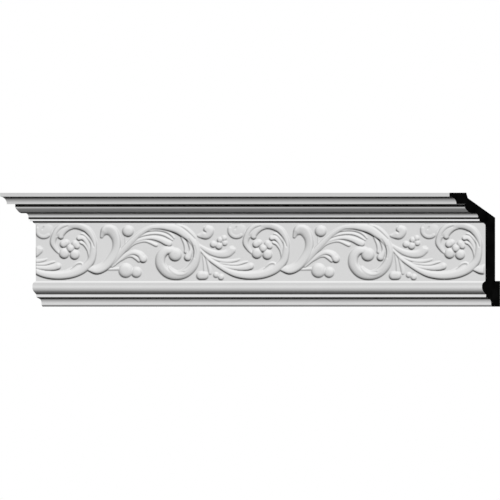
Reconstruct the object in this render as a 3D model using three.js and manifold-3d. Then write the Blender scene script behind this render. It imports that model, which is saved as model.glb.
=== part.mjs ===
// A length of crown moulding with an acanthus scroll along its frieze, cut for two mitred corners.
//
// Millimetres. +X runs along the wall, +Y goes into the wall and +Z is up. The origin is the middle
// of the foot's back face, which seats on the wall, so the front of the moulding faces -Y.
// A projection is a distance out from the wall, and a height is measured up from the underside.

import * as THREE from 'three';
import { mergeVertices } from 'three/addons/utils/BufferGeometryUtils.js';
import Module from 'manifold-3d';

const wasm = await Module();
wasm.setup();

// length along the wall, and the mitre: both ends are cut the same way, so they stay parallel
const mouldingLength = 700;
const mitreAngle = 45;

// foot, which seats on the wall
const footBackHeight = 40;
const footThickness = 14.2;
const footChamferDepth = 1.6;
const footChamferHeight = 2.7;
const footFaceHeight = 2.8;

// cove over the foot, which leans out into a straight flare, and the fillet above it
const footCoveLean = 38;
const footCoveHeight = 6.1;
const footFlareDepth = 5.9;
const footFlareHeight = 3.2;
const footFilletHeight = 4.25;

// bead under the frieze. Its lower side leans out by these angles off upright, and its upper side
// leans back in.
const beadUnderLean = 45;
const beadTurnLean = 39;
const beadRoundLean = 37;
const beadUnderHeight = 4.4;
const beadRoundHeight = 6.6;
const beadFaceHeight = 2.95;
const beadShoulderLean = 46;
const beadTopLean = 62;
const beadShoulderHeight = 4.4;
const beadTopHeight = 2.45;

// frieze, the wall of foam behind it, and where its back turns into the slope
const friezeHeight = 86.15;
const friezeThickness = 15.1;
const slopeStartAboveFrieze = 7.8;

// hollow at the frieze's upper edge, which leans out into a straight flare
const hollowLean = 50;
const hollowHeight = 3;
const flareDepth = 2.7;
const flareHeight = 1.8;

// members over the frieze, from the bottom up
const lowerQuirkDepth = 1.2;
const lowerQuirkHeight = 2.4;
const lowerSoffitDepth = 4;
const lowerFilletHeight = 3;
const lowerStepDepth = 2.1;
const middleQuirkHeight = 2.95;
const middleCoveDepth = 4.4;
const middleCoveHeight = 6.25;
const middleSoffitDepth = 5.55;

// ovolo: it turns from level towards upright by these angles off upright
const ovoloUnderLean = 48;
const ovoloSlopeLean = 43;
const ovoloNoseLean = 40;
const ovoloTopLean = 12;
const ovoloUnderHeight = 1.9;
const ovoloSlopeHeight = 4.75;
const ovoloNoseHeight = 3.2;

const upperQuirkHeight = 4.5;
const upperSoffitDepth = 13.05;
const topCoveDepth = 10.6;
const topCoveHeight = 11.6;
const topLipDepth = 0.3;
const topFilletHeight = 6.1;

// seat against the ceiling, and the short face behind it
const ceilingSeatDepth = 26.2;
const topBackHeight = 8.4;
const topBackLean = 2.5;

// ornament: one repeat holds a flower in a scroll, a leafy scroll and what grows between them
const repeatLength = 300;
const firstFlowerFromEnd = 54.1;
const reliefRise = 3.9;
const reliefRoot = 1.5;
const drawnRepeat = 300;
const drawnFieldHeight = 90.95;
const drawnRise = 5.3;

// facets
const quarterSteps = 6;
const stationSpacing = 13;
const fewestStations = 3;
const thinHalfWidth = 4.5;
const bossSides = 8;
const bossRings = 4;
const weldDistance = 1e-4;

const foamColour = 0xdedede;

const mitreShear = Math.tan(THREE.MathUtils.degToRad(mitreAngle));
const undersideZ = -footBackHeight / 2;

// The front is drawn from the underside up. A cove is a quarter ellipse that starts upright and
// turns outward as it climbs. A bend is an arc that climbs from one lean off upright to another.
function drawFront() {
  const points = [[footThickness - footChamferDepth, 0]];

  function line(out, up) {
    const [projection, height] = points.at(-1);
    points.push([projection + out, height + up]);
  }

  function cove(out, up) {
    const [projection, height] = points.at(-1);
    for (let step = 1; step <= quarterSteps; step++) {
      const turn = (step / quarterSteps) * (Math.PI / 2);
      points.push([projection + out * (1 - Math.cos(turn)), height + up * Math.sin(turn)]);
    }
  }

  function bend(firstLean, lastLean, up) {
    const [projection, height] = points.at(-1);
    const first = THREE.MathUtils.degToRad(firstLean);
    const last = THREE.MathUtils.degToRad(lastLean);
    const radius = up / (Math.sin(first) - Math.sin(last));
    const steps = Math.ceil((quarterSteps * Math.abs(firstLean - lastLean)) / 90);
    for (let step = 1; step <= steps; step++) {
      const lean = first + (last - first) * (step / steps);
      points.push([
        projection + radius * (Math.cos(lean) - Math.cos(first)),
        height + radius * (Math.sin(first) - Math.sin(lean)),
      ]);
    }
  }

  line(footChamferDepth, footChamferHeight);
  line(0, footFaceHeight);
  bend(0, footCoveLean, footCoveHeight);
  line(footFlareDepth, footFlareHeight);
  line(0, footFilletHeight);
  bend(beadUnderLean, beadTurnLean, beadUnderHeight);
  bend(beadRoundLean, 0, beadRoundHeight);
  line(0, beadFaceHeight);
  bend(0, -beadShoulderLean, beadShoulderHeight);
  bend(-beadShoulderLean, -beadTopLean, beadTopHeight);
  const friezeFoot = points.at(-1);
  line(0, friezeHeight);
  bend(0, hollowLean, hollowHeight);
  line(flareDepth, flareHeight);
  const friezeHead = points.at(-1);
  line(lowerQuirkDepth, lowerQuirkHeight);
  line(lowerSoffitDepth, 0);
  line(0, lowerFilletHeight);
  line(lowerStepDepth, 0);
  line(0, middleQuirkHeight);
  cove(middleCoveDepth, middleCoveHeight);
  line(middleSoffitDepth, 0);
  bend(90, ovoloUnderLean, ovoloUnderHeight);
  bend(ovoloSlopeLean, ovoloNoseLean, ovoloSlopeHeight);
  bend(ovoloNoseLean, ovoloTopLean, ovoloNoseHeight);
  line(0, upperQuirkHeight);
  line(upperSoffitDepth, 0);
  cove(topCoveDepth, topCoveHeight);
  line(topLipDepth, 0);
  line(0, topFilletHeight);
  return { points, friezeFoot, friezeHead };
}

const front = drawFront();
const [friezeProjection, friezeFootHeight] = front.friezeFoot;
const [, friezeHeadHeight] = front.friezeHead;
const [topProjection, mouldingHeight] = front.points.at(-1);
const fieldHeight = friezeHeadHeight - friezeFootHeight;
const friezeZ = undersideZ + friezeFootHeight;
const friezeBack = friezeProjection - friezeThickness;
const ceilingSeatBack = topProjection - ceilingSeatDepth;

const back = [
  [ceilingSeatBack, mouldingHeight],
  [ceilingSeatBack - topBackLean, mouldingHeight - topBackHeight],
  [friezeBack, friezeHeadHeight + slopeStartAboveFrieze],
  [friezeBack, footBackHeight],
  [0, footBackHeight],
  [0, 0],
];

// solids in and out of the boolean library
function toSolid(geometry) {
  geometry.deleteAttribute('normal');
  geometry.deleteAttribute('uv');
  const welded = mergeVertices(geometry, weldDistance);
  return new wasm.Manifold(new wasm.Mesh({
    numProp: 3,
    vertProperties: new Float32Array(welded.attributes.position.array),
    triVerts: new Uint32Array(welded.index.array),
  }));
}

function toGeometry(solid) {
  const mesh = solid.getMesh();
  const geometry = new THREE.BufferGeometry();
  geometry.setAttribute('position', new THREE.BufferAttribute(mesh.vertProperties, 3));
  geometry.setIndex(new THREE.BufferAttribute(mesh.triVerts, 1));
  geometry.computeVertexNormals();
  return geometry;
}

// The moulding is one straight extrusion, sheared by its own projection to give both mitres.
function makeBody() {
  const section = new THREE.Shape(
    [...front.points, ...back].map(([projection, height]) => new THREE.Vector2(-projection, height)),
  );
  const geometry = new THREE.ExtrudeGeometry(section, { depth: mouldingLength, bevelEnabled: false });
  const place = geometry.attributes.position;
  for (let i = 0; i < place.count; i++) {
    const y = place.getX(i);
    const along = place.getZ(i) - mouldingLength / 2;
    place.setXYZ(i, along + y * mitreShear, y, place.getY(i) + undersideZ);
  }
  return toSolid(geometry);
}

// Ornament as drawn on the frieze. Each stroke is a run of [along, up, half width] with its rise:
// along is from the flower's centre and up is from the frieze's lower edge. A stroke of one point
// is a round boss.
const scrollRoundFlower = [
  { rise: 5.3, path: [
    [-85, 33.5, 1.2], [-72, 25, 2.5], [-57, 16.5, 4], [-41, 10.5, 5.6], [-21.5, 8.5, 6.5],
    [-1, 10.5, 6.8], [16.5, 18, 7.2], [30.3, 31, 7.6], [35.5, 47.5, 6], [35, 63, 5.2],
    [27, 78.5, 5.6], [13.5, 86, 5.8], [-2, 86.5, 6], [-17, 81.5, 6.4], [-25.7, 70, 5.6],
    [-27.2, 58, 4.5], [-22.5, 49, 3], [-18, 43.5, 1.6],
  ] },
  { rise: 5.3, path: [[6, 84.5, 3.1], [-5, 82, 4.4], [-14, 76.5, 4.9], [-16.2, 69.8, 4.4]] },
  { rise: 4, path: [[-13, 14.5, 2.2], [1, 17, 3.7], [10.5, 21.5, 5.6], [14.5, 24, 5.8]] },
];

const fingersRoundFlower = [
  { rise: 5, path: [
    [34.5, 49.5, 1.6], [32.5, 57.5, 2], [28.5, 65, 2.5], [23.5, 71, 2.6], [17.5, 73, 1.6],
  ] },
  { rise: 5.3, path: [
    [31, 44, 1.9], [29.5, 52, 2.6], [26.5, 59, 3.6], [21, 64.5, 4.2], [13.5, 66, 3.9],
  ] },
  { rise: 4.7, path: [[28.8, 31, 1.2], [27.8, 47, 2.6], [23.5, 54.5, 3], [18, 58.2, 2.4]] },
];

const flower = [
  { rise: 5.9, path: [[-0.5, 50.8, 6.5]] },
  { rise: 5, path: [[-5.5, 59.3, 5.5], [-12, 56.8, 5.8]] },
  { rise: 5, path: [[5, 59.5, 5.6], [10.5, 54, 5.2]] },
  { rise: 5.3, path: [[-10.7, 42.2, 8.5]] },
  { rise: 5.3, path: [[5.7, 40.4, 8.1]] },
];

const hookedLeaf = [
  { rise: 5.3, path: [
    [30, 18.5, 4], [41.5, 17.5, 7.2], [54, 23.5, 7.2], [64.5, 36, 7.2], [71, 50.5, 6.5],
    [71, 65, 6.8], [65, 77, 8], [57, 80, 7], [51, 75, 4.7], [48.5, 69, 2.5],
  ] },
];

const risingStem = [
  { rise: 5, path: [
    [55, 17.5, 2.2], [66.5, 29.5, 4], [79, 44.5, 5.3], [93, 59, 5.9], [108.5, 71.5, 6.8],
    [125.5, 81, 6.5], [144.5, 85.5, 5.6],
  ] },
  { rise: 5.3, path: [
    [65, 22.5, 1.6], [76, 32, 2.5], [87, 40.5, 3.1], [97.5, 44.5, 4], [107.5, 41.5, 5],
    [113, 34, 6.5],
  ] },
  { rise: 4.7, path: [
    [79, 32.5, 1.6], [88.5, 38, 1.9], [95.5, 39, 2.5], [101.5, 36, 3], [106.5, 32, 3.1],
  ] },
];

const leafUnderStem = [
  { rise: 5, path: [[107, 62.5, 2.2], [118, 62, 1.9], [125.5, 60, 2.6], [133, 56.5, 3.3]] },
  { rise: 5.3, path: [
    [105.5, 65, 3.1], [122.5, 66.5, 3], [135, 65, 4], [145, 61, 5.8], [152, 59.5, 6.8],
  ] },
  { rise: 5, path: [
    [110, 70, 2.8], [125.5, 73, 3], [139.5, 73.5, 3.3], [150.5, 70, 3.4], [158.5, 66, 2.5],
  ] },
  { rise: 5, path: [
    [113.5, 76.5, 2.5], [129, 79, 2.3], [144.5, 79, 2.5], [155.5, 74.5, 2.3], [161.5, 69.5, 1.4],
  ] },
];

const leafyScroll = [
  { rise: 5.6, path: [
    [124, 85, 3.1], [144.5, 86.5, 4.7], [162.5, 84, 6.7], [177, 77, 6.8], [188.5, 65.5, 6.2],
    [195, 53, 6.1], [196, 39, 6.5], [191, 24, 7.2], [180, 13, 7.3], [165, 8.5, 7.2],
    [150.5, 12.5, 7.5], [140.5, 24.5, 7.6], [140.5, 38, 7.6], [147.5, 46.5, 6.8], [157.5, 48, 5.3],
  ] },
  { rise: 5.9, path: [[161.7, 40.6, 10.5]] },
  { rise: 6.6, path: [[153.7, 19.5, 3.2], [167, 11, 4.2], [183, 17.5, 3.6], [187.5, 27, 2.6]] },
  { rise: 5.3, path: [[168, 73, 3.6], [177.8, 57, 2.8], [179.5, 45, 3]] },
  { rise: 5.3, path: [[178, 70, 2.6], [184, 60.5, 2.6], [187, 48, 3], [182, 36, 5.9]] },
  { rise: 5.3, path: [
    [164.5, 87.5, 3.1], [177, 82, 4], [186.5, 74.5, 3.9], [193, 67.5, 3], [196, 63, 1.4],
  ] },
];

const tonguesPastScroll = [
  { rise: 5, path: [
    [220.5, 31, 1.1], [234.5, 24, 1.9], [248.5, 20.5, 2.8], [262.5, 19.5, 4.4], [273.5, 20.5, 5.9],
    [279, 23, 6.4],
  ] },
  { rise: 4, path: [
    [217.5, 37, 1.2], [230, 32.5, 2.2], [244, 30.5, 2.8], [256.5, 32, 2.2], [262.5, 34, 1.4],
  ] },
  { rise: 4.4, path: [
    [233, 28, 1.4], [247, 26, 1.9], [259.5, 26, 2.3], [270.5, 29, 1.9], [275, 30, 1.2],
  ] },
  { rise: 5, path: [
    [201, 53.5, 2.2], [211.5, 47, 3.7], [222, 41.5, 4.7], [234.5, 40.5, 5.6], [245.5, 43.5, 6.5],
    [252.5, 48.5, 7.2],
  ] },
];

const volutesAtTop = [
  { rise: 4.7, path: [[199, 70.5, 2.2], [204.5, 70.5, 4.4], [211.5, 72.5, 6]] },
  { rise: 4.7, path: [[213.5, 77, 9.6]] },
  { rise: 4, path: [[258.2, 79.5, 14.2]] },
];

const drops = [
  { rise: 3.7, path: [[205.5, 40.5, 1.2], [208, 28, 1.9], [209, 15.5, 2.3]] },
  { rise: 5, path: [[202.2, 8.3, 6.6], [208.3, 8.5, 6.6]] },
  { rise: 3.7, path: [[210, 39, 1.4], [214.5, 28, 2.5], [218.5, 15, 4.5]] },
  { rise: 4, path: [[226.3, 10.5, 4.4]] },
  { rise: 4.4, path: [[234.2, 6.8, 4.9]] },
];

const berries = [
  { rise: 5.3, path: [[89.3, 77.7, 9.1]] },
  { rise: 5.3, path: [[85.8, 16.2, 11.2]] },
  { rise: 4.7, path: [[102.4, 13.4, 8.3]] },
  { rise: 4.4, path: [[222, 57, 5.1]] },
  { rise: 4.4, path: [[230.8, 54.6, 5.8]] },
  { rise: 4.4, path: [[232.3, 63.8, 4.5]] },
  { rise: 4, path: [[238.8, 66.5, 4.4]] },
  { rise: 4, path: [[239.8, 59, 4.5]] },
];

const ornament = [
  ...scrollRoundFlower, ...fingersRoundFlower, ...flower, ...hookedLeaf, ...risingStem,
  ...leafUnderStem, ...leafyScroll, ...tonguesPastScroll, ...volutesAtTop, ...drops, ...berries,
];

const alongScale = repeatLength / drawnRepeat;
const upScale = fieldHeight / drawnFieldHeight;
const widthScale = Math.min(alongScale, upScale);
const riseScale = reliefRise / drawnRise;

// Sections as [across, level]: level 1 is a stroke's full height and -1 its root under the frieze.
// Round ends are [out, width, height] rings. Thin strokes stand lower and have fewer facets.
const wideSection = [[-1.1, -1], [1.1, -1], [0.72, 0.78], [0, 1], [-0.72, 0.78]];
const thinSection = [[-1.1, -1], [1.1, -1], [0.4, 1], [-0.4, 1]];
const wideEnd = [[0.57, 0.82, 0.89], [0.94, 0.34, 0.4]];
const thinEnd = [[0.8, 0.5, 0.6]];
const thinRiseShare = 0.4;
const fullWidth = 12;
const curveTension = 0.5;
const innerReachShare = 0.85;
const leastTurn = 1e-6;

function riseAt(rise, halfWidth) {
  const share = thinRiseShare + (1 - thinRiseShare) * Math.min(1, (2 * halfWidth) / fullWidth);
  return rise * riseScale * share;
}

// stations along a stroke: where, which way, how wide on each side and how high
function makeStations({ rise, path }, endRings) {
  const curve = new THREE.CatmullRomCurve3(
    path.map(([along, up, half]) => new THREE.Vector3(along * alongScale, up * upScale, half * widthScale)),
    false, 'catmullrom', curveTension,
  );
  const count = Math.max(fewestStations, Math.round(curve.getLength() / stationSpacing));
  const points = curve.getSpacedPoints(count);
  const stations = points.map((point, i) => {
    const before = points[Math.max(0, i - 1)];
    const after = points[Math.min(count, i + 1)];
    const ahead = new THREE.Vector2(after.x - before.x, after.y - before.y).normalize();
    const half = point.z;
    const top = riseAt(rise, half);
    return { at: new THREE.Vector2(point.x, point.y), ahead, left: half, right: half, top };
  });

  // on the inside of a tight curve the side stays short of the curve's own centre
  for (let i = 1; i < count; i++) {
    const turn = stations[i - 1].ahead.cross(stations[i + 1].ahead);
    const run = points[i + 1].distanceTo(points[i - 1]);
    const reach = (innerReachShare * run) / Math.max(Math.abs(turn), leastTurn);
    const inner = turn > 0 ? 'left' : 'right';
    stations[i][inner] = Math.min(stations[i][inner], reach);
  }

  function capped(station, way) {
    return endRings.map(([out, width, height]) => ({
      at: station.at.clone().addScaledVector(station.ahead, way * out * station.left),
      ahead: station.ahead,
      left: station.left * width,
      right: station.right * width,
      top: station.top * height,
    }));
  }

  return [...capped(stations[0], -1).reverse(), ...stations, ...capped(stations.at(-1), 1)];
}

function sweepStroke(stroke, flowerX) {
  const thin = Math.max(...stroke.path.map((point) => point[2])) < thinHalfWidth;
  const section = thin ? thinSection : wideSection;
  const sides = section.length;
  const positions = [];
  const faces = [];
  const stations = makeStations(stroke, thin ? thinEnd : wideEnd);
  for (const { at, ahead, left, right, top } of stations) {
    for (const [across, level] of section) {
      const reach = across * (across < 0 ? right : left);
      const height = level < 0 ? -reliefRoot : level * top;
      positions.push(
        flowerX + at.x - ahead.y * reach,
        -friezeProjection - height,
        friezeZ + at.y + ahead.x * reach,
      );
    }
  }
  const last = (stations.length - 1) * sides;
  for (let side = 1; side < sides - 1; side++) {
    faces.push(0, side + 1, side);
    faces.push(last, last + side, last + side + 1);
  }
  for (let ring = 0; ring < last; ring += sides) {
    for (let side = 0; side < sides; side++) {
      const next = (side + 1) % sides;
      const a = ring + side;
      const b = ring + next;
      faces.push(a, b, b + sides, a, b + sides, a + sides);
    }
  }
  const geometry = new THREE.BufferGeometry();
  geometry.setAttribute('position', new THREE.Float32BufferAttribute(positions, 3));
  geometry.setIndex(faces);
  return toSolid(geometry);
}

function raiseBoss({ rise, path }, flowerX) {
  const [along, up, half] = path[0];
  const top = riseAt(rise, half);
  const geometry = new THREE.SphereGeometry(1, bossSides, bossRings);
  geometry.scale(half * widthScale, top, half * widthScale);
  geometry.translate(flowerX + along * alongScale, -friezeProjection, friezeZ + up * upScale);
  return toSolid(geometry);
}

// The relief stops square at the frieze's own ends and edges, so neither mitre cuts through it.
function makeReliefLimit(leftEnd, rightEnd) {
  const inner = friezeProjection - 2 * reliefRoot;
  const outer = friezeProjection + 2 * reliefRise;
  const lean = 2 * reliefRoot * mitreShear;
  const plan = new THREE.Shape([
    new THREE.Vector2(leftEnd + lean, -inner),
    new THREE.Vector2(leftEnd, -friezeProjection),
    new THREE.Vector2(leftEnd, -outer),
    new THREE.Vector2(rightEnd, -outer),
    new THREE.Vector2(rightEnd, -inner),
  ]);
  const geometry = new THREE.ExtrudeGeometry(plan, { depth: fieldHeight, bevelEnabled: false });
  geometry.translate(0, 0, friezeZ);
  return toSolid(geometry);
}

function makeRelief() {
  const friezeLean = friezeProjection * mitreShear;
  const leftEnd = -mouldingLength / 2 - friezeLean;
  const rightEnd = mouldingLength / 2 - friezeLean - reliefRise * mitreShear;
  const firstFlower = leftEnd + firstFlowerFromEnd * alongScale;
  const lastFlower = rightEnd + repeatLength / 2;
  const solids = [];
  for (let flowerX = firstFlower - repeatLength; flowerX < lastFlower; flowerX += repeatLength) {
    for (const stroke of ornament) {
      const solid = stroke.path.length === 1 ? raiseBoss(stroke, flowerX) : sweepStroke(stroke, flowerX);
      const { min, max } = solid.boundingBox();
      if (max[0] > leftEnd && min[0] < rightEnd) {
        solids.push(solid);
      }
    }
  }
  const joined = solids.reduce((all, solid) => all.add(solid));
  return joined.intersect(makeReliefLimit(leftEnd, rightEnd));
}

const foam = new THREE.MeshStandardMaterial({ color: foamColour, roughness: 0.75, metalness: 0 });
const moulding = new THREE.Mesh(toGeometry(makeBody().add(makeRelief())), foam);
moulding.name = 'crown_moulding';

const part = new THREE.Group();
part.add(moulding);

export default part;
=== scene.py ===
import math

import bpy
import mathutils
import numpy as np
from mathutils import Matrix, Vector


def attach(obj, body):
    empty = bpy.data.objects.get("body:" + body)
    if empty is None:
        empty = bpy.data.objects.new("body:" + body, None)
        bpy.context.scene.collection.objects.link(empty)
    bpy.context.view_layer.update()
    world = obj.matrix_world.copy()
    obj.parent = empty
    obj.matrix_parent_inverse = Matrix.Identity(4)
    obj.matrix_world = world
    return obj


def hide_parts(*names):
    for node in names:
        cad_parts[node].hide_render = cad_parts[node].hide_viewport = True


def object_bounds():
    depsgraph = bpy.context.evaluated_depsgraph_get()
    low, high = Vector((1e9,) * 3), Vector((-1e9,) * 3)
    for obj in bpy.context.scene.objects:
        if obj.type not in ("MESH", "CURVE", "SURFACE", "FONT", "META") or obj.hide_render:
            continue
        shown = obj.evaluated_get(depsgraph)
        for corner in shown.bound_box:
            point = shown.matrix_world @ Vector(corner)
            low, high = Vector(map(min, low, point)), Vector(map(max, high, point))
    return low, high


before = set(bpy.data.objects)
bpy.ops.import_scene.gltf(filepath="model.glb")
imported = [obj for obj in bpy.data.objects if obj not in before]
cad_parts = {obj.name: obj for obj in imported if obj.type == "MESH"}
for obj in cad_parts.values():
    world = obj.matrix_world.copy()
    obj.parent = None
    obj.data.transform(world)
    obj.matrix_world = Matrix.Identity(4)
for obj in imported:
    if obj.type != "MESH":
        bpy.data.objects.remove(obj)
cadLow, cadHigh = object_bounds()
millimetre = 0.001
print("frame: the moulding's solid is loaded")


# Section of the casting in millimetres. The front is drawn from the underside up, one move a
# member. A line is (out, up). A cove is a quarter ellipse that starts upright and turns outward as
# it climbs. A bend climbs from one lean off upright to another, in degrees, and its reach follows.
section = {
    "length": 700.0,
    "mitre": math.radians(45),
    "footThickness": 14.2,
    "footBackHeight": 40.0,
    "friezeThickness": 15.1,
    "slopeStart": 7.8,  # above the frieze's upper edge
    "ceilingSeat": 26.2,
    "topBackHeight": 8.4,
    "topBackLean": 2.5,
    "moves": {
        "foot chamfer": ("line", 1.6, 2.7),
        "foot face": ("line", 0, 2.8),
        "foot cove": ("bend", 0, 38, 6.1),
        "foot flare": ("line", 5.9, 3.2),
        "foot fillet": ("line", 0, 4.25),
        "bead underside": ("bend", 45, 39, 4.4),
        "bead round": ("bend", 37, 0, 6.6),
        "bead face": ("line", 0, 2.95),
        "bead shoulder": ("bend", 0, -46, 4.4),
        "bead top": ("bend", -46, -62, 2.45),
        "frieze": ("line", 0, 86.15),
        "hollow": ("bend", 0, 50, 3.0),
        "flare": ("line", 2.7, 1.8),
        "lower quirk": ("line", 1.2, 2.4),
        "lower soffit": ("line", 4.0, 0),
        "lower fillet": ("line", 0, 3.0),
        "lower step": ("line", 2.1, 0),
        "middle quirk": ("line", 0, 2.95),
        "middle cove": ("cove", 4.4, 6.25),
        "middle soffit": ("line", 5.55, 0),
        "ovolo underside": ("bend", 90, 48, 1.9),
        "ovolo slope": ("bend", 43, 40, 4.75),
        "ovolo nose": ("bend", 40, 12, 3.2),
        "upper quirk": ("line", 0, 4.5),
        "upper soffit": ("line", 13.05, 0),
        "top cove": ("cove", 10.6, 11.6),
        "top lip": ("line", 0.3, 0),
        "top fillet": ("line", 0, 6.1),
    },
    "curveSteps": 14,  # points on each cove and bend
    "edgeRadius": 0.35,  # on the cast edges
    "edgeBend": 0.29,  # how far the middle of that radius lies in from the corner
    "edgeShare": 0.4,  # the radius takes at most this share of a face
    "edgeTurn": math.radians(20),  # a sharper turn than this is an edge
    # Members that take the light as if they leaned by this much, in degrees, from their lower end
    # to their upper one. The quirks lie in the shade of the soffits over them, and the small rounds
    # blend into their neighbours.
    "shadeLeans": {
        "foot chamfer": (37, 37),
        "foot fillet": (-5, -5),
        "bead underside": (50, 42),
        "bead round": (40, 0),
        "bead face": (-3, -3),
        "bead shoulder": (3, 3),
        "bead top": (-39, -39),
        "hollow": (0, 0),
        "flare": (0, 0),
        "lower quirk": (65, 65),
        "lower fillet": (-20, -20),
        "middle quirk": (65, 65),
        "upper quirk": (65, 65),
        "top fillet": (7, 7),
    },
}


def drawFront():
    # points of the front from the underside up, and the number of each member's first point
    points = [(section["footThickness"] - section["moves"]["foot chamfer"][1], 0.0)]
    starts = {}
    for name, (kind, *size) in section["moves"].items():
        projection, height = points[-1]
        starts[name] = len(points) - 1
        if kind == "line":
            points.append((projection + size[0], height + size[1]))
            continue
        for step in range(1, section["curveSteps"] + 1):
            share = step / section["curveSteps"]
            if kind == "cove":
                turn = share * math.pi / 2
                out = size[0] * (1 - math.cos(turn))
                up = size[1] * math.sin(turn)
            else:
                first, last = math.radians(size[0]), math.radians(size[1])
                radius = size[2] / (math.sin(first) - math.sin(last))
                turn = first + (last - first) * share
                out = radius * (math.cos(turn) - math.cos(first))
                up = radius * (math.sin(first) - math.sin(turn))
            points.append((projection + out, height + up))
    return points, starts


def drawBack(front, starts):
    # points of the back from the ceiling down
    topProjection, topHeight = front[-1]
    seatBack = topProjection - section["ceilingSeat"]
    friezeBack = front[starts["frieze"]][0] - section["friezeThickness"]
    friezeHead = front[starts["lower quirk"]][1]
    return [
        (seatBack, topHeight),
        (seatBack - section["topBackLean"], topHeight - section["topBackHeight"]),
        (friezeBack, friezeHead + section["slopeStart"]),
        (friezeBack, section["footBackHeight"]),
        (0.0, section["footBackHeight"]),
        (0.0, 0.0),
    ]


def roundEdges(outline):
    # each point of the outline as a corner of (projection, height, sharp) rows: an edge of the
    # section gets a small radius of three rows, any other point keeps one
    points = np.array(outline)
    corners = []
    for here, before, after in zip(points, np.roll(points, 1, 0), np.roll(points, -1, 0)):
        back, ahead = before - here, after - here
        backLength, aheadLength = np.hypot(*back), np.hypot(*ahead)
        back, ahead = back / backLength, ahead / aheadLength
        turn = math.pi - math.acos(np.clip(back @ ahead, -1, 1))
        if turn < section["edgeTurn"]:
            corners.append([(*here, False)])
            continue
        most = section["edgeShare"] * min(backLength, aheadLength)
        cut = min(section["edgeRadius"] * math.tan(turn / 2), most)
        middle = here + (back + ahead) * cut * section["edgeBend"]
        corners.append([(*(here + back * cut), True), (*middle, False), (*(here + ahead * cut), True)])
    return corners


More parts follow.
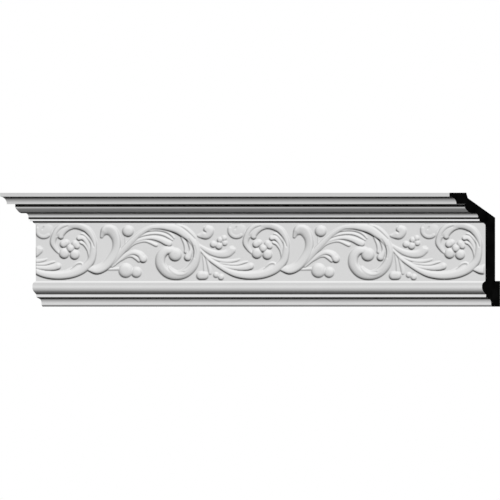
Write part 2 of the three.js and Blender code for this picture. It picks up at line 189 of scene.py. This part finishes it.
# Scrollwork of one repeat, in millimetres: along is from the flower's centre and up is from the
# frieze's lower edge. A stroke is [rise, tilt, (along, up, half width), ...], and one point makes a
# boss. The tilt is the share by which a stroke's left edge stands lower than its middle and its
# right edge higher. A vein is sunk into the strokes, as [depth, (along, up, half width), ...].
ornament = {
    "repeat": 300.0,
    "firstFlower": 54.1,  # from the frieze's left end
    "spacing": 0.7,  # between samples of a stroke
    "depth": 0.7,  # scales every rise and depth
    "crown": 3.0,  # higher is flatter across the top
    "shoulder": 0.6,  # lower is steeper at the edges
    "thinShare": 0.2,  # height of the thinnest stroke, as a share of its rise
    "fullHalfWidth": 5.45,  # a stroke this wide stands at its whole rise
    "widestShare": 1.1,  # and no stroke is higher than this share of it
    "strokes": {
        "scroll": {
            "band": [
                5, 0.12, (-99, 49.5, 1.8), (-91.5, 41, 2.2), (-85, 34.5, 2.6), (-72, 25.3, 3.2),
                (-57, 16.5, 4.2), (-41, 10.5, 5.6), (-21.5, 8.5, 6.5), (-1, 10.5, 6.8), (15, 16.3, 6.9),
                (25.5, 24, 6.6), (31.8, 32, 6.2), (34.3, 41, 6.1), (35.3, 50, 5.7), (35, 63, 5.3),
                (27, 78, 5.6), (13.5, 85.5, 5.6), (-2, 86, 5.6), (-13.5, 83.5, 6.2), (-21.5, 76, 6),
                (-26.5, 66, 5), (-27.2, 58, 4.5), (-22.5, 49, 3), (-18, 43.5, 1.6),
            ],
            "curled tip": [
                5.3, 0, (6, 84.5, 3.1), (-3, 83, 4.6), (-10, 78, 4.8), (-14.3, 72.5, 4.8),
                (-15.2, 69.4, 4.8),
            ],
            "fold": [3.4, 0, (-8, 14.5, 2), (5.9, 19.6, 3.5), (10.8, 22.5, 3.9), (15.7, 24.9, 3.7)],
            "edge of the fold": [
                6.5, 0, (2, 18.5, 1), (6.9, 25.2, 1.3), (11.8, 28, 1.4), (16.5, 28, 1.4),
                (20, 25.2, 1.2),
            ],
        },
        "fingers": {
            "outer": [
                5, 0, (34.2, 54.1, 1.2), (30.3, 61.9, 1.8), (25.4, 68.7, 2), (20.6, 72.6, 1.9),
                (16.5, 73.5, 1.2),
            ],
            "middle": [
                5.6, -0.2, (30, 47, 1.6), (26.8, 56.5, 2.6), (23, 62.9, 3.3), (18.6, 67, 3.7),
                (12.8, 66.6, 3.7),
            ],
            "inner": [
                5.8, -0.2, (29, 36, 1.4), (28.6, 42, 1.9), (27, 48.3, 2.2), (24, 53.7, 2.4),
                (20.1, 58, 2.4), (15.7, 59.8, 2.2),
            ],
        },
        "flower": {
            "eye": [6.2, 0, (-0.4, 50.5, 6.2)],
            "upper left petal": [4.8, 0, (-7, 59.3, 5.2), (-11.2, 57.3, 5.8)],
            "upper right petal": [4.8, 0, (6.5, 57.8, 5.2), (9.8, 54, 4.7)],
            "lower left petal": [5.3, 0, (-10, 42.8, 8.2)],
            "lower right petal": [5.3, 0, (6.3, 40.9, 7.8)],
        },
        "hooked leaf": {
            "blade": [
                5, 0.3, (30, 18.5, 4), (41.5, 17.5, 7.2), (54, 23.5, 7.2), (64.5, 36, 7.2),
                (71, 50.5, 6.5), (71, 65, 6.8), (65, 77, 8.4), (56.5, 80, 8.1), (51, 75, 4.7),
                (48.5, 69, 2.5),
            ],
        },
        "rising stem": {
            "stem": [
                5, -0.15, (55, 17.5, 2.2), (66.5, 29.5, 4), (79, 44.5, 5.1), (92, 58.5, 5),
                (107.5, 73, 4.2), (125.5, 83, 3.8), (144.5, 86, 4.2),
            ],
            "curling leaf": [
                5, 0.2, (65, 22.5, 1.6), (76, 32, 2.5), (87, 40.5, 3.1), (97.5, 44.5, 4),
                (107.5, 41.5, 5), (113, 34.3, 6.2),
            ],
            "lip of the curling leaf": [
                4.7, 0.2, (79, 32.5, 1.6), (88.5, 38, 1.9), (95.5, 39, 2.5), (101.5, 36, 3),
                (106.5, 32, 3.1),
            ],
        },
        "leaf under the stem": {
            "lowest lobe": [
                4.4, 0.2, (86, 47.5, 2.4), (96, 56.5, 2.2), (105.5, 60.5, 1.9), (115.9, 62.3, 2),
                (123.7, 60.2, 2.3), (130.2, 57.2, 2.6), (133.4, 56, 2.7),
            ],
            "broad lobe": [
                4.4, 0.15, (90, 53, 2.4), (100, 61, 2.4), (112, 65.5, 2.4), (122.4, 67, 2.7),
                (131.5, 66.5, 3.5), (140.6, 64, 4.4), (148.3, 60.3, 5), (153.3, 58.4, 5),
            ],
            "third lobe": [
                4.4, 0.2, (95, 61, 2.1), (104, 67.3, 1.9), (113.3, 71.3, 1.9), (125, 73.8, 2.1),
                (136.7, 74, 2.2), (145.7, 71.8, 2.2), (152.9, 68, 2), (158.7, 64, 1.4),
            ],
            "top lobe": [
                4.4, 0.2, (102, 69.5, 2), (111, 75, 1.9), (118.5, 78, 1.9), (130.2, 79.5, 1.9),
                (141.9, 79, 2), (151, 76.3, 2), (157.4, 71.8, 1.8), (161.3, 66.8, 1.3),
            ],
        },
        "leafy scroll": {
            "band": [
                5.4, 0.2, (124, 83.4, 3.2), (133, 84.4, 4.2), (144.5, 84.8, 5.6), (163.5, 81.4, 7.4),
                (175.8, 74.5, 7.2), (188, 64.5, 6.2), (195.3, 53, 5.9), (196.5, 39.5, 5.9),
                (191.3, 24.5, 7), (180, 13, 7.3), (165, 8.5, 7.2), (150.5, 12.5, 7.5),
                (140.5, 24.5, 7.6), (140.5, 38, 7.6), (147.5, 46.5, 6.8), (157.5, 48, 5.3),
            ],
            "ball": [5.9, 0, (162.7, 41, 10.4)],
            "crescent": [
                7.8, 0.2, (153.5, 20.4, 3), (158.7, 15.2, 3.9), (166.5, 11.6, 4.1), (175.6, 11.9, 4.1),
                (183.4, 17.3, 3.6), (187.8, 27, 2.6),
            ],
            "short frond": [
                5.3, 0.1, (173, 68, 1.8), (177.5, 59, 2.4), (179.3, 51, 2.6), (179.5, 45.5, 3.1),
            ],
            "long frond": [
                5.3, 0.1, (180.5, 66, 1.8), (185.3, 57, 2.4), (187.3, 47, 3.2), (182.4, 36.7, 5.9),
            ],
            "ridge": [
                5.3, 0, (164.5, 87.5, 3.1), (177, 82, 4), (186.5, 74.5, 3.9), (193, 67.5, 3),
                (196, 63, 1.4),
            ],
        },
        "tongues": {
            "lower": [
                4.8, 0.1, (209, 41.5, 1.4), (220.5, 32.5, 1.6), (234.5, 24.5, 2), (248.5, 21, 2.8),
                (262.5, 19.8, 3.9), (273.5, 20.8, 5), (280, 22.8, 5.3),
            ],
            "upper": [
                3.2, 0.1, (217.5, 37, 1.2), (230, 32.5, 2.2), (244, 30.5, 2.8), (256.5, 32, 2.2),
                (262.5, 34, 1.4),
            ],
            "middle": [
                4.2, 0.1, (233, 28, 1.4), (247, 26, 1.9), (259.5, 26, 2.3), (270.5, 29, 1.9),
                (275, 30, 1.2),
            ],
            "broad": [
                2.9, 0.1, (199.5, 56, 2), (210, 49, 3.4), (222, 43.4, 4.6), (234.1, 41.3, 5.6),
                (244.3, 43, 6.2), (251, 48.3, 6.2),
            ],
        },
        "volutes": {
            "curl": [
                4.4, 0, (199, 70.5, 2.2), (204.5, 70.5, 4.4), (211.5, 72, 7.2), (215.3, 77, 7.8),
                (214.5, 79, 7.6), (211.5, 80.5, 6.3),
            ],
            "disc": [3.2, 0, (258.2, 79.5, 14.2)],
            "rim of the disc": [
                4.6, 0, (248.2, 81.3, 4), (248.6, 76, 4), (251.6, 71.7, 4), (256.4, 69.5, 4),
                (261.7, 69.9, 4), (264.8, 71.7, 4),
            ],
        },
        "drops": {
            "left stalk": [3.7, 0, (205.5, 40.5, 1.2), (208, 28, 1.9), (209, 15.5, 2.3)],
            "double seed": [4.6, 0, (202.2, 8.3, 6.6), (208.3, 8.5, 6.6)],
            "right stalk": [
                3.7, 0, (210, 39, 1.4), (213.7, 28, 2.2), (216.7, 17, 2.7), (217.2, 12.5, 2.7),
            ],
            "small seed": [4, 0, (226.3, 9.4, 4.3)],
            "last seed": [4.4, 0, (234.2, 6, 4.8)],
        },
        "berries": {
            "bud": [5.3, 0, (89.3, 77.7, 9.1)],
            "stalk of the bud": [3.1, 0, (85.5, 68.5, 1.1), (85.5, 59, 1.1)],
            "large berry": [5.3, 0, (85.8, 16.2, 11.2)],
            "small berry": [4.7, 0, (102.4, 13.4, 8.3)],
            "stalk of the berries": [3.4, 0, (59, 18, 1.6), (74.5, 19, 2.3)],
            "left of the bunch": [4.6, 0, (222, 57, 5.1)],
            "foot of the bunch": [4.6, 0, (230.8, 54.6, 5.8)],
            "middle of the bunch": [4.6, 0, (232.3, 63.8, 4.5)],
            "tip of the bunch": [4.4, 0, (238.8, 66.5, 4.4)],
            "right of the bunch": [4.4, 0, (239.8, 59, 4.5)],
        },
    },
    "veins": {
        "curled tip": [1.4, (-21.5, 70, 1.4), (-20, 75, 1.6), (-13.5, 81.5, 1.7), (-4.5, 85.3, 1.1)],
        "fold": [1.6, (0, 17.5, 1.2), (6.5, 21.5, 1.8), (11, 24, 2.4), (15.5, 25.3, 2.2)],
        "eye of the disc": [1.5, (256.5, 81, 1.3), (258, 84.2, 1.3)],
        "eye of the curl": [
            2.5, (210.3, 86, 1.2), (206.7, 81.9, 1.7), (207.1, 77.6, 1.7), (210.3, 75.5, 1.4),
        ],
        "beside the fingers": [
            1.9, (20, 76.8, 1.2), (28.3, 69.2, 1.5), (33.4, 61, 1.4), (36.3, 53.5, 1.1),
        ],
        "crescent": [1.2, (156, 21, 1), (161, 16.5, 1.4), (168, 13.8, 1.4), (176, 14.3, 1.2)],
        "ridge": [1.2, (172.5, 84, 1.1), (180, 78.5, 1.4), (187, 72, 1.4), (194, 65, 1.2)],
        "leafy band": [1.4, (184, 65, 1.2), (189, 56.5, 1.6), (191, 46.5, 1.6), (190.5, 37, 1.4)],
        "rim of the leafy band": [0.9, (193, 54.5, 1.2), (195, 45, 1.4), (193.5, 35.5, 1.2)],
        "curling leaf": [1.4, (88.5, 45.5, 1.1), (97.5, 47.5, 1.2), (107, 45.5, 1.4), (114, 39, 1.4)],
        "broad tongue": [1.2, (250.5, 52.5, 1.4), (255, 52, 1.4)],
    },
}


def smoothLine(points):
    # a curve through the points, as close samples of (along, up, half width)
    knots = np.array(points, float)
    if len(knots) == 1:
        return knots
    ends = np.vstack([2 * knots[0] - knots[1], knots, 2 * knots[-1] - knots[-2]])
    samples = []
    for before, start, end, after in zip(ends, ends[1:], ends[2:], ends[3:]):
        count = max(2, int(np.hypot(*(end - start)[:2]) / ornament["spacing"]))
        t = np.linspace(0, 1, count, endpoint=False)[:, None]
        samples.append(0.5 * (
            2 * start + (end - before) * t
            + (2 * before - 5 * start + 4 * end - after) * t ** 2
            + (3 * start - before - 3 * end + after) * t ** 3
        ))
    return np.vstack([*samples, knots[-1:]])


def measureStroke(line, along, up):
    # how far each place is from the stroke, as a share of its half width and no more than 1, how
    # far to its left, in half widths, and the half width there
    nearest = np.full(along.shape, np.inf)
    leftward = np.zeros(along.shape)
    halfWidth = np.ones(along.shape)
    courses = np.zeros((1, 2))
    if len(line) > 1:
        courses = np.gradient(line[:, :2], axis=0)
        courses = courses / np.hypot(*courses.T)[:, None]
    for (x, y, half), (courseX, courseY) in zip(line, courses):
        away = np.hypot(along - x, up - y) / half
        closer = away < nearest
        nearest[closer] = away[closer]
        leftward[closer] = ((courseX * (up - y) - courseY * (along - x)) / half)[closer]
        halfWidth[closer] = half
    return np.minimum(nearest, 1), leftward, halfWidth


def eachCopy(points, along, up, firstFlower):
    # the stroke in every repeat that touches the field, and the part of the field that it reaches
    line = smoothLine(points)
    for repeat in range(-1, int(section["length"] / ornament["repeat"]) + 2):
        copy = line + (firstFlower + repeat * ornament["repeat"], 0, 0)
        low, high = (copy - copy[:, 2:]).min(0), (copy + copy[:, 2:]).max(0)
        columns = np.flatnonzero((along.max(0) > low[0]) & (along.min(0) < high[0]))
        levels = np.flatnonzero((up[:, 0] > low[1]) & (up[:, 0] < high[1]))
        if len(columns) and len(levels):
            yield copy, (slice(levels[0], levels[-1] + 1), slice(columns[0], columns[-1] + 1))


def reliefHeights(along, up, firstFlower):
    # height of the scrollwork over the frieze: the strokes merge, then the veins are sunk in them
    heights = np.zeros(along.shape)
    thin = ornament["thinShare"]
    for group in ornament["strokes"].values():
        for rise, tilt, *points in group.values():
            for line, window in eachCopy(points, along, up, firstFlower):
                away, leftward, halfWidth = measureStroke(line, along[window], up[window])
                width = np.minimum(halfWidth / ornament["fullHalfWidth"], ornament["widestShare"])
                top = ornament["depth"] * rise * (thin + (1 - thin) * width)
                shape = (1 - away ** ornament["crown"]) ** ornament["shoulder"]
                heights[window] = np.maximum(heights[window], top * shape * (1 - tilt * leftward))
    for depth, *points in ornament["veins"].values():
        for line, window in eachCopy(points, along, up, firstFlower):
            away = measureStroke(line, along[window], up[window])[0]
            heights[window] -= ornament["depth"] * depth * (1 - away ** 2)
    return heights


# Mesh of the casting, in millimetres: the frieze is a fine field of heights, and the plain members
# are long strips.
field = {
    "along": 0.86,  # between stations along the frieze
    "up": 0.88,  # between rows up the frieze
    "strips": 14,  # lengths that the plain members are cut into
    "leftFlush": 0.15,  # the relief drops to the frieze within this much at the left
    "rightFade": 4.5,  # and sinks into the frieze over this much before the right mitre
    "soften": 0.22,  # each height is averaged over this much either way
    "calmRelief": 0.02,  # the hollow counts as bare under less relief than this
}


def carveFrieze(along, levels, leftEnd, rightEnd):
    # the frieze's heights at every station and level, each the mean of four close ones, so that
    # slanted edges don't step from one station to the next
    up = np.repeat(levels[:, None], along.shape[1], 1)
    reach = field["soften"]
    near = [(-reach, -reach), (reach, -reach), (-reach, reach), (reach, reach)]
    firstFlower = leftEnd + ornament["firstFlower"]
    heights = sum(reliefHeights(along + dx, up + dy, firstFlower) for dx, dy in near) / len(near)
    toRight = rightEnd - along
    fade = np.clip(toRight / field["rightFade"], 0, 1)
    heights = np.minimum(heights * fade ** 2 * (3 - 2 * fade), toRight)
    heights[:, 0] = 0  # the relief ends square at the left
    heights[[0, -1]] = 0  # and runs out at the field's lower and upper edges
    return heights


def layField(front, starts, fine):
    # rows of the frieze, its hollow and its flare. A vertex is calm where the bare hollow or flare
    # shows between the scrollwork.
    lean = math.tan(section["mitre"])
    profile = np.array(front[starts["frieze"]:starts["lower quirk"] + 1])
    projection, foot = profile[0]
    top = profile[-1][1] - foot
    levels = np.linspace(0, top, math.ceil(top / field["up"]) + 1)[1:-1]
    bases = np.interp(levels, profile[:, 1] - foot, profile[:, 0])[:, None]
    along = fine - bases * lean
    heights = carveFrieze(along, levels, *(fine[[0, -1]] - projection * lean))
    print(f"frieze: {heights.size} heights, the relief stands {heights.max():.1f} mm proud")
    out = np.maximum(projection + heights, bases)
    calm = (bases > projection) & (out < bases + field["calmRelief"])
    return [
        {"along": row[0], "out": row[1], "height": row[2], "calm": row[3]}
        for row in zip(along, out, levels + foot, calm)
    ]


def layRows(fine, marks):
    # every row round the section: up the front from the underside, and down the back. Its finish and
    # shade are those of the faces up to the next row, and a sharp row is an edge.
    front, starts = drawFront()
    names = list(starts)
    firsts = [*starts.values(), len(front) - 1]
    lean = math.tan(section["mitre"])
    rows = []
    for number, corner in enumerate(roundEdges(front + drawBack(front, starts))):
        if starts["frieze"] < number < starts["lower quirk"]:
            continue  # the field stands here
        member = np.searchsorted(firsts, number, "right") - 1
        leans = section["shadeLeans"].get(names[member]) if number < firsts[-1] else None
        for place, (out, height, sharp) in enumerate(corner):
            row = {
                "along": marks - out * lean, "out": np.full(len(marks), out), "height": height,
                "sharp": sharp,
            }
            rows.append(row)
            onNext = place == len(corner) - 1  # past the corner, on the next face
            if number > firsts[-1] or (number == firsts[-1] and onNext):
                row["finish"] = "rawFoamBack"
            if leans and onNext:
                share = (number - firsts[member] + 0.5) / (firsts[member + 1] - firsts[member])
                row["shade"] = math.radians(leans[0] + (leans[1] - leans[0]) * share)
        if number == starts["frieze"]:
            rows += layField(front, starts, fine)
    plain = {"sharp": False, "finish": "whitePrimer", "shade": np.nan}
    return [{**plain, "calm": np.zeros(len(row["along"]), bool), **row} for row in rows]


def joinRows(low, high, perStrip):
    # faces between two rows. A plain row has a vertex at each strip mark, and a fine one has perStrip
    # times as many.
    if len(low) == len(high):
        return list(zip(low[:-1], low[1:], high[1:], high[:-1]))
    faces = []
    for strip in range(field["strips"]):
        spans = []
        for row in (low, high):
            step = 1 if len(row) == field["strips"] + 1 else perStrip
            spans.append(row[strip * step:(strip + 1) * step + 1])
        faces.append([*spans[0], *spans[1][::-1]])
    return faces


def sharpenEdges(mesh, rowOf, sharpRow, leftEnd, rightEnd):
    # edges stay crisp along the section's corners and round both cut ends
    atEnd = np.zeros(len(rowOf), int)
    atEnd[leftEnd], atEnd[rightEnd] = 1, 2
    edges = np.empty(len(mesh.edges) * 2, np.int32)
    mesh.edges.foreach_get("vertices", edges)
    a, b = edges.reshape(-1, 2).T
    crisp = ((rowOf[a] == rowOf[b]) & sharpRow[rowOf[a]]) | ((atEnd[a] > 0) & (atEnd[a] == atEnd[b]))
    mesh.attributes.new("sharp_edge", "BOOLEAN", "EDGE").data.foreach_set("value", crisp)
    mesh.update()


def turnNormals(mesh, shades, calm):
    # the normals that light is reckoned with, where they aren't the mesh's own
    normals = np.empty((len(mesh.loops), 3), np.float32)
    mesh.corner_normals.foreach_get("vector", normals.ravel())
    vertexOf = np.empty(len(mesh.loops), np.int32)
    mesh.loops.foreach_get("vertex_index", vertexOf)
    counts = np.empty(len(mesh.polygons), np.int32)
    mesh.polygons.foreach_get("loop_total", counts)
    leans = np.repeat(shades, counts)
    turned = ~np.isnan(leans)
    normals[turned] = np.column_stack([np.zeros(len(leans)), -np.cos(leans), -np.sin(leans)])[turned]
    normals[calm[vertexOf] & ~turned] = (0, -1, 0)
    mesh.normals_split_custom_set(normals.tolist())


def makeCasting(finishOrder):
    # the finishes on the mesh are numbered in the order given
    half = section["length"] / 2
    perStrip = math.ceil(section["length"] / field["strips"] / field["along"])
    fine = np.linspace(-half, half, perStrip * field["strips"] + 1)
    marks = fine[::perStrip].copy()
    fine[1] = fine[0] + field["leftFlush"]
    rows = layRows(fine, marks)

    underside = -section["footBackHeight"] / 2
    vertices = np.vstack([
        np.column_stack([row["along"], -row["out"], np.full_like(row["out"], row["height"] + underside)])
        for row in rows
    ])
    firsts = np.cumsum([0] + [len(row["along"]) for row in rows])
    numbers = [list(range(first, last)) for first, last in zip(firsts, firsts[1:])]
    leftEnd = [row[0] for row in numbers]
    rightEnd = [row[-1] for row in numbers]
    faces = [leftEnd, rightEnd[::-1]]
    finishNames = ["blackCutEnd", "blackCutEnd"]
    shades = [np.nan, np.nan]
    for row, low, high in zip(rows, numbers, numbers[1:] + numbers[:1]):
        added = joinRows(low, high, perStrip)
        faces += added
        finishNames += [row["finish"]] * len(added)
        shades += [row["shade"]] * len(added)

    mesh = bpy.data.meshes.new("crownMouldingCasting")
    mesh.from_pydata((vertices * millimetre).tolist(), [], faces)
    mesh.polygons.foreach_set("use_smooth", [name != "blackCutEnd" for name in finishNames])
    mesh.polygons.foreach_set("material_index", [finishOrder.index(name) for name in finishNames])
    rowOf = np.repeat(np.arange(len(rows)), np.diff(firsts))
    sharpenEdges(mesh, rowOf, np.array([row["sharp"] for row in rows]), leftEnd, rightEnd)
    turnNormals(mesh, shades, np.concatenate([row["calm"] for row in rows]))
    casting = bpy.data.objects.new("crown_moulding_casting", mesh)
    bpy.context.scene.collection.objects.link(casting)
    mesh.calc_loop_triangles()
    print(f"casting: {len(mesh.loop_triangles)} triangles")
    return casting


# Every finish is two close colours in a soft mottle, over the fine unevenness of a cast or sprayed
# skin. The keys of surface, bump and shader are the names of those nodes' inputs.
finishes = {
    "whitePrimer": {
        "lighter": (0.87, 0.87, 0.87, 1),
        "darker": (0.845, 0.845, 0.845, 1),
        "surface": {"Mottle Scale": 22.0, "Grain Scale": 1100.0, "Grain Share": 0.6},
        "bump": {"Strength": 0.35, "Distance": 0.0001},
        "shader": {"Roughness": 0.62, "Specular IOR Level": 0.3},
    },
    "blackCutEnd": {
        "lighter": (0.006, 0.006, 0.006, 1),
        "darker": (0.002, 0.002, 0.002, 1),
        "surface": {"Mottle Scale": 60.0, "Grain Scale": 1600.0, "Grain Share": 0.7},
        "bump": {"Strength": 0.4, "Distance": 0.0002},
        "shader": {"Roughness": 0.9, "Specular IOR Level": 0.0},
    },
    "rawFoamBack": {
        "lighter": (0.86, 0.845, 0.8, 1),
        "darker": (0.78, 0.765, 0.72, 1),
        "surface": {"Mottle Scale": 18.0, "Grain Scale": 700.0, "Grain Share": 0.5},
        "bump": {"Strength": 0.6, "Distance": 0.0003},
        "shader": {"Roughness": 0.8, "Specular IOR Level": 0.25},
    },
    "paleFloor": {
        "lighter": (0.82, 0.82, 0.815, 1),
        "darker": (0.78, 0.78, 0.775, 1),
        "surface": {"Mottle Scale": 2.5, "Grain Scale": 120.0, "Grain Share": 0.5},
        "bump": {"Strength": 0.2, "Distance": 0.0005},
        "shader": {"Roughness": 0.9, "Specular IOR Level": 0.2},
    },
}
mottleEdges = (0.3, 0.7)  # noise below the first is all the darker colour, above the second the lighter


def addNode(tree, kind, place, inputs=None, **settings):
    node = tree.nodes.new(kind)
    node.location = place
    for name, value in settings.items():
        setattr(node, name, value)
    for name, value in (inputs or {}).items():
        node.inputs[name].default_value = value
    return node


def buildCastSurface():
    # a shared group: a broad mottle, and the height of fine grain over slower waves
    group = bpy.data.node_groups.new("castSurface", "ShaderNodeTree")
    sockets = {"Mottle Scale": 25.0, "Wave Ratio": 6.0, "Grain Scale": 900.0, "Grain Share": 0.5}
    for name, value in sockets.items():
        socket = group.interface.new_socket(name=name, in_out="INPUT", socket_type="NodeSocketFloat")
        socket.default_value = value
    for name in ("Mottle", "Height"):
        group.interface.new_socket(name=name, in_out="OUTPUT", socket_type="NodeSocketFloat")
    entry = addNode(group, "NodeGroupInput", (-800, 0))
    result = addNode(group, "NodeGroupOutput", (400, 0))
    place = addNode(group, "ShaderNodeTexCoord", (-800, 300))
    mottle = addNode(group, "ShaderNodeTexNoise", (-400, 300), {"Detail": 4.0, "Roughness": 0.6})
    grain = addNode(group, "ShaderNodeTexNoise", (-400, 0), {"Detail": 3.0, "Roughness": 0.5})
    waves = addNode(group, "ShaderNodeTexNoise", (-400, -300), {"Detail": 1.0})
    waveScale = addNode(group, "ShaderNodeMath", (-600, -300), operation="MULTIPLY")
    blend = addNode(group, "ShaderNodeMix", (0, -100))
    link = group.links.new
    for texture in (mottle, grain, waves):
        link(place.outputs["Object"], texture.inputs["Vector"])
    link(entry.outputs["Mottle Scale"], mottle.inputs["Scale"])
    link(entry.outputs["Grain Scale"], grain.inputs["Scale"])
    link(entry.outputs["Mottle Scale"], waveScale.inputs[0])
    link(entry.outputs["Wave Ratio"], waveScale.inputs[1])
    link(waveScale.outputs[0], waves.inputs["Scale"])
    link(entry.outputs["Grain Share"], blend.inputs["Factor"])
    link(waves.outputs["Fac"], blend.inputs["A"])
    link(grain.outputs["Fac"], blend.inputs["B"])
    link(mottle.outputs["Fac"], result.inputs["Mottle"])
    link(blend.outputs["Result"], result.inputs["Height"])
    return group


def makeFinish(name, values, castSurface):
    material = bpy.data.materials.new(name)
    material.use_nodes = True
    tree = material.node_tree
    shader = tree.nodes["Principled BSDF"]
    for socket, value in values["shader"].items():
        shader.inputs[socket].default_value = value
    skin = addNode(tree, "ShaderNodeGroup", (-900, 0), node_tree=castSurface)
    for socket, value in values["surface"].items():
        skin.inputs[socket].default_value = value
    ramp = addNode(tree, "ShaderNodeValToRGB", (-600, 100))
    colours = (values["darker"], values["lighter"])
    for element, position, colour in zip(ramp.color_ramp.elements, mottleEdges, colours):
        element.position = position
        element.color = colour
    bump = addNode(tree, "ShaderNodeBump", (-300, -200), values["bump"])
    link = tree.links.new
    link(skin.outputs["Mottle"], ramp.inputs["Fac"])
    link(ramp.outputs["Color"], shader.inputs["Base Color"])
    link(skin.outputs["Height"], bump.inputs["Height"])
    link(bump.outputs["Normal"], shader.inputs["Normal"])
    return material


# Soft studio light without cast shadows: each lamp shines from the direction given.
lighting = {
    "lamps": {
        "key": {"strength": 3.2, "from": (0.20, -0.76, 0.62)},  # in front, high, a little to the right
        "back": {"strength": 1.6, "from": (-0.2, 1.0, -0.27)},  # soffits, and what faces the wall
        "rear": {"strength": 1.5, "from": (0.25, 1.0, 0.35)},  # the back and its slope alone
    },
    "softness": math.radians(3),
    "skyStrength": 0.001,
}


def addLamps():
    for name, lamp in lighting["lamps"].items():
        light = bpy.data.lights.new(name, "SUN")
        light.energy = lamp["strength"]
        light.angle = lighting["softness"]
        light.use_shadow = False
        sun = bpy.data.objects.new(name, light)
        sun.rotation_mode = "QUATERNION"
        sun.rotation_quaternion = mathutils.Vector(lamp["from"]).to_track_quat("Z", "Y")
        bpy.context.scene.collection.objects.link(sun)


def addBackdrop():
    # the camera sees white behind the moulding, and the moulding takes next to no light from it
    white = (1, 1, 1, 1)
    world = bpy.data.worlds.new("studio")
    world.use_nodes = True
    bpy.context.scene.world = world
    tree = world.node_tree
    tree.nodes.clear()
    skyValues = {"Color": white, "Strength": lighting["skyStrength"]}
    sky = addNode(tree, "ShaderNodeBackground", (0, 0), skyValues)
    backdrop = addNode(tree, "ShaderNodeBackground", (0, -150), {"Color": white})
    path = addNode(tree, "ShaderNodeLightPath", (-250, 200))
    mix = addNode(tree, "ShaderNodeMixShader", (250, 0))
    result = addNode(tree, "ShaderNodeOutputWorld", (450, 0))
    tree.links.new(path.outputs["Is Camera Ray"], mix.inputs["Fac"])
    tree.links.new(sky.outputs["Background"], mix.inputs[1])
    tree.links.new(backdrop.outputs["Background"], mix.inputs[2])
    tree.links.new(mix.outputs["Shader"], result.inputs["Surface"])


floorSize = {"side": 8.0, "drop": 0.3}  # m: how wide it is, and how far under the moulding it lies


def addFloor(finish):
    # pale floor, which throws no light back up under the moulding
    half = floorSize["side"] / 2
    corners = [(-half, -half, 0), (half, -half, 0), (half, half, 0), (-half, half, 0)]
    mesh = bpy.data.meshes.new("floor")
    mesh.from_pydata(corners, [], [(0, 1, 2, 3)])
    mesh.materials.append(finish)
    floor = bpy.data.objects.new("floor", mesh)
    floor.location.z = cadLow.z - floorSize["drop"]
    floor.visible_diffuse = False
    bpy.context.scene.collection.objects.link(floor)


# The photograph looks straight at the moulding without perspective.
framing = {
    "imageSide": 500,  # px
    "pixelSize": 1.5568,  # mm that one pixel shows
    "middleX": 275.47,  # px column of the moulding's middle at the wall
    "originY": 293.82,  # px row of the middle of the foot's back
    "distance": 2.0,  # m from the wall
}


def addCamera():
    pixel = framing["pixelSize"] * millimetre
    middle = framing["imageSide"] / 2
    lens = bpy.data.cameras.new("front")
    lens.type = "ORTHO"
    lens.ortho_scale = framing["imageSide"] * pixel
    camera = bpy.data.objects.new("front", lens)
    camera.location.x = (middle - framing["middleX"]) * pixel
    camera.location.y = -framing["distance"]
    camera.location.z = (framing["originY"] - middle) * pixel
    camera.rotation_euler.x = math.radians(90)
    bpy.context.scene.collection.objects.link(camera)
    bpy.context.scene.camera = camera


castSurface = buildCastSurface()
materials = {name: makeFinish(name, values, castSurface) for name, values in finishes.items()}
print(f"finishes: {', '.join(materials)}")

addCamera()
addLamps()
addBackdrop()
addFloor(materials["paleFloor"])
bpy.context.scene.view_settings.view_transform = "Standard"
print("stage: camera, lights and floor are in place")

castFinishes = ["whitePrimer", "blackCutEnd", "rawFoamBack"]
casting = makeCasting(castFinishes)
for finishName in castFinishes:
    casting.data.materials.append(materials[finishName])
casting.visible_diffuse = False  # no light bounces from one member into the next
casting.visible_glossy = False
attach(casting, "root")
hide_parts("crown_moulding")
print("casting: finished and set in the frame")
